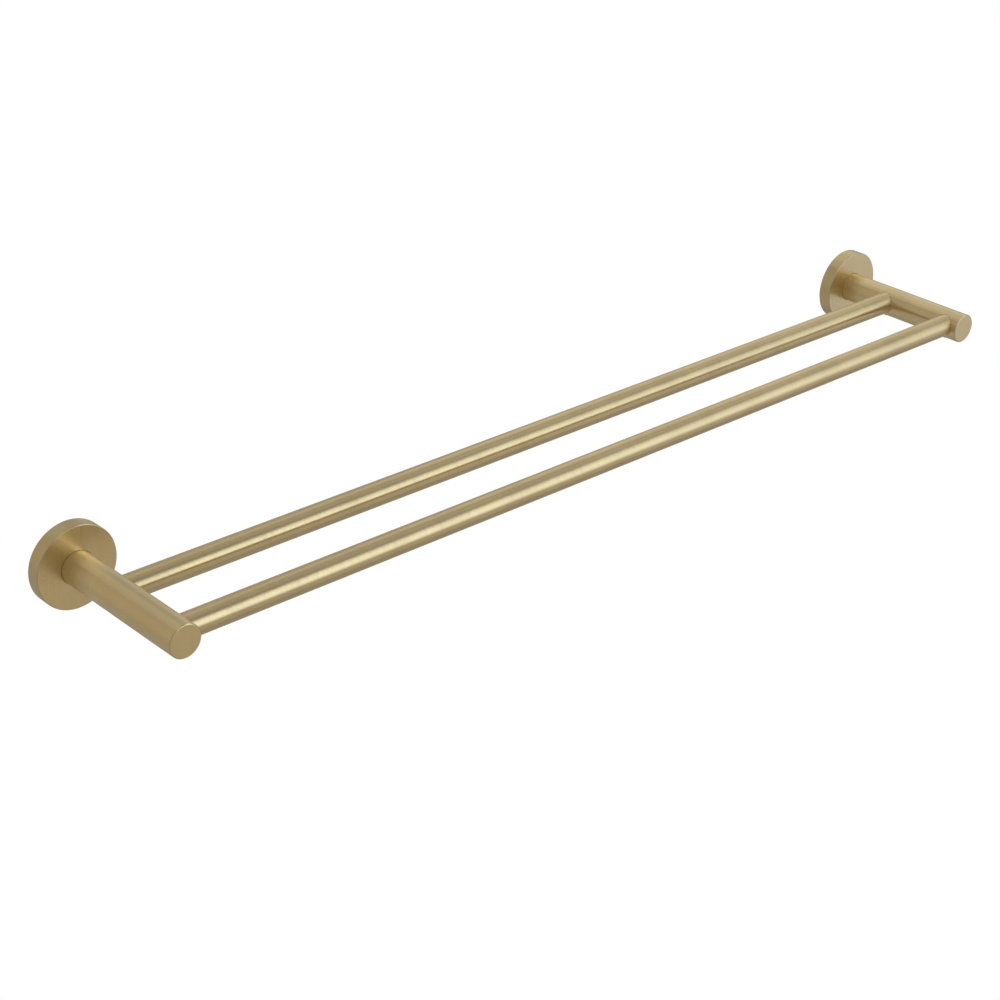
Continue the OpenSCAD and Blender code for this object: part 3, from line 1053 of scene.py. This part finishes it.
def keyCorners(key, depth, cone, mouth):
    # the six-sided hole for the key, from its cone out to its mouth
    wider, deep = mouth
    return [(0, depth + key * cone, 0, 0), (key * screwSize["keyFloor"], depth, 0, 0), (key, depth, 0, 1),
            (key, deep, 0, 1), (key + wider, 0, 0, 1)]


setScrewSize = {
    "keyCone": 0.25,  # how far the cone goes on, as a share of the key's radius
    "keyMouth": (0.1 * mm, 0.12 * mm),  # (wider by, over this depth)
    "endSoft": 0.3 * mm,
    "lead": (0.05 * mm, 0.25 * mm),  # (inwards, along the screw)
    "threadStart": 0.3 * mm,
    "cup": (0.25 * mm, 0.35 * mm),  # (inwards, along the screw)
}


def makeSetScrew(node, body, pitch):
    # stands upright with its key end at the bottom
    s = screwSize
    size, middle = sizeOf(node), centreOf(node)
    keyEnd = (middle.x, middle.y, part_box(node)[0].z)
    radius, length = size.x / 2, size.z
    tip, key = radius * s["tipShare"], radius * s["keyShare"]
    keyDepth = length * s["keyDepthShare"]
    own = setScrewSize
    corners = [*keyCorners(key, keyDepth, own["keyCone"], own["keyMouth"]),
               (radius - own["endSoft"], 0, 0, 0), (radius - own["lead"][0], own["lead"][1], 0, 0),
               *threadRows(radius, own["threadStart"], length - tip, pitch),
               (radius - tip, length, 0, 0), (radius - tip - own["cup"][0], length, 0, 0),
               (0, length - own["cup"][1], 0, 0)]
    points = roundedProfile(corners)
    screw = turnPiece(node + "_grub", points, keyEnd, (0, 0, 1), steel, s["segments"], pitch,
                      pitch * s["grooveShare"])
    smoothPiece(screw, 30)
    finishPiece(screw, node, body)


postScrewSize = {
    "radius": 3 * mm,
    "keyCone": 0.2,
    "keyMouth": (0.15 * mm, 0.15 * mm),
    "headFlat": 0.75,  # share of the head's radius
    "headRound": 0.5 * mm,
    "headSoft": 0.15 * mm,
    "neck": 1.5 * mm,  # plain stretch under the head
    "threadStart": 1.6 * mm,
}


def makePostScrew(side):
    node = side + "_post_screw"
    low, high, middle = boxOf(node)
    s = screwSize
    headRadius = sizeOf(node).x / 2
    length = high.y - low.y
    headHeight = high.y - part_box(side + "_spring_washer")[1].y
    own = postScrewSize
    radius, pitch = own["radius"], s["pitch"]["post"]
    tip, key = radius * s["tipShare"], radius * s["keyShare"]
    keyDepth = headHeight * s["keyDepthShare"]
    corners = [*keyCorners(key, keyDepth, own["keyCone"], own["keyMouth"]),
               (headRadius * own["headFlat"], 0, 0, 0), (headRadius, 0, own["headRound"], 0),
               (headRadius, headHeight, own["headSoft"], 0), (radius, headHeight, 0, 0),
               (radius, headHeight + own["neck"], 0, 0),
               *threadRows(radius, headHeight + own["threadStart"], length - tip, pitch),
               (radius - tip, length, 0, 0), (0, length, 0, 0)]
    screw = turnPiece(node + "_cap", roundedProfile(corners), (middle.x, high.y, middle.z), towardsRoom,
                      steel, s["segments"], pitch, pitch * s["grooveShare"])
    smoothPiece(screw, 30)
    finishPiece(screw, node, "rack")


washerSize = {"inner": 3.2 * mm, "edge": 0.15 * mm, "split": 14, "segments": 96}  # split in degrees


def makeSpringWasher(side):
    node = side + "_spring_washer"
    low, high, middle = boxOf(node)
    s = washerSize
    outer = sizeOf(node).z / 2
    right = Vector((1, 0, 0))
    washer = growPiece(node + "_ring", splitRing, profileMesh(node, [(0, 0, 0), (0, 0, mm)]),
                       segments=s["segments"], radius=(outer + s["inner"]) / 2, width=outer - s["inner"],
                       thickness=high.y - low.y, round=s["edge"], gap=math.radians(s["split"]),
                       place=Vector((centreOf(side + "_post_screw").x, middle.y, middle.z)),
                       axis=towardsRoom, side=right, up=towardsRoom.cross(right), finish=steel)
    smoothPiece(washer)
    finishPiece(washer, node, "rack")


plugSize = {
    "head": 0.4 * mm,
    "lead": 0.6 * mm,
    "gap": 0.02 * mm,
    "segments": 72,
    "ribs": 3,
    "ribDepth": 0.12 * mm,
    "ribShare": 0.7,  # where a rib's groove sits in its stretch of the plug
    "grooveHalf": 0.6 * mm,  # half a groove's floor
    "grooveSlope": 0.2 * mm,
    "soft": 0.1 * mm,
    "innerSoft": 0.05 * mm,
}


def makePlug(side, bar):
    node = bar + "_" + side + "_plug"
    low, high, middle = boxOf(node)
    headRadius, length = sizeOf(node).z / 2, high.x - low.x
    s = plugSize
    radius = sizeOf(bar).z / 2 - barSize["wall"] - s["gap"]
    inward = Vector((-sides[side], 0, 0))
    start = Vector((low.x if side == "left" else high.x, middle.y, middle.z))
    soft, innerSoft = s["soft"], s["innerSoft"]
    corners = [(0, 0, 0, 0), (headRadius / 2, 0, 0, 0), (headRadius, 0, soft, 0),
               (headRadius, s["head"], innerSoft, 0), (radius, s["head"], 0, 0)]
    body = length - s["head"] - s["lead"]
    floor, half, mouth = radius - s["ribDepth"], s["grooveHalf"], s["grooveHalf"] + s["grooveSlope"]
    for rib in range(s["ribs"]):
        groove = s["head"] + body * (rib + s["ribShare"]) / s["ribs"]
        corners += [(radius, groove - mouth, soft, 0), (floor, groove - half, innerSoft, 0),
                    (floor, groove + half, innerSoft, 0), (radius, groove + mouth, soft, 0)]
    corners += [(radius, length - s["lead"], soft, 0), (radius - s["lead"], length, soft, 0),
                (0, length, 0, 0)]
    plug = turnPiece(node + "_core", roundedProfile(corners), start, inward, nylon, s["segments"])
    smoothPiece(plug)
    finishPiece(plug, node, "rack")


for side in sides:
    makeSetScrew(side + "_flange_set_screw", side + "_lock", screwSize["pitch"]["flange"])
    for bar in barNodes:
        makeSetScrew(bar + "_" + side + "_set_screw", "rack", screwSize["pitch"]["bar"])
        makePlug(side, bar)
    makePostScrew(side)
    makeSpringWasher(side)
print("screws, washers and plugs made")

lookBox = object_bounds()
for words, box in (("cad box", cadBox), ("visual box", lookBox)):
    print(words, [round(value, 5) for corner in box for value in corner])
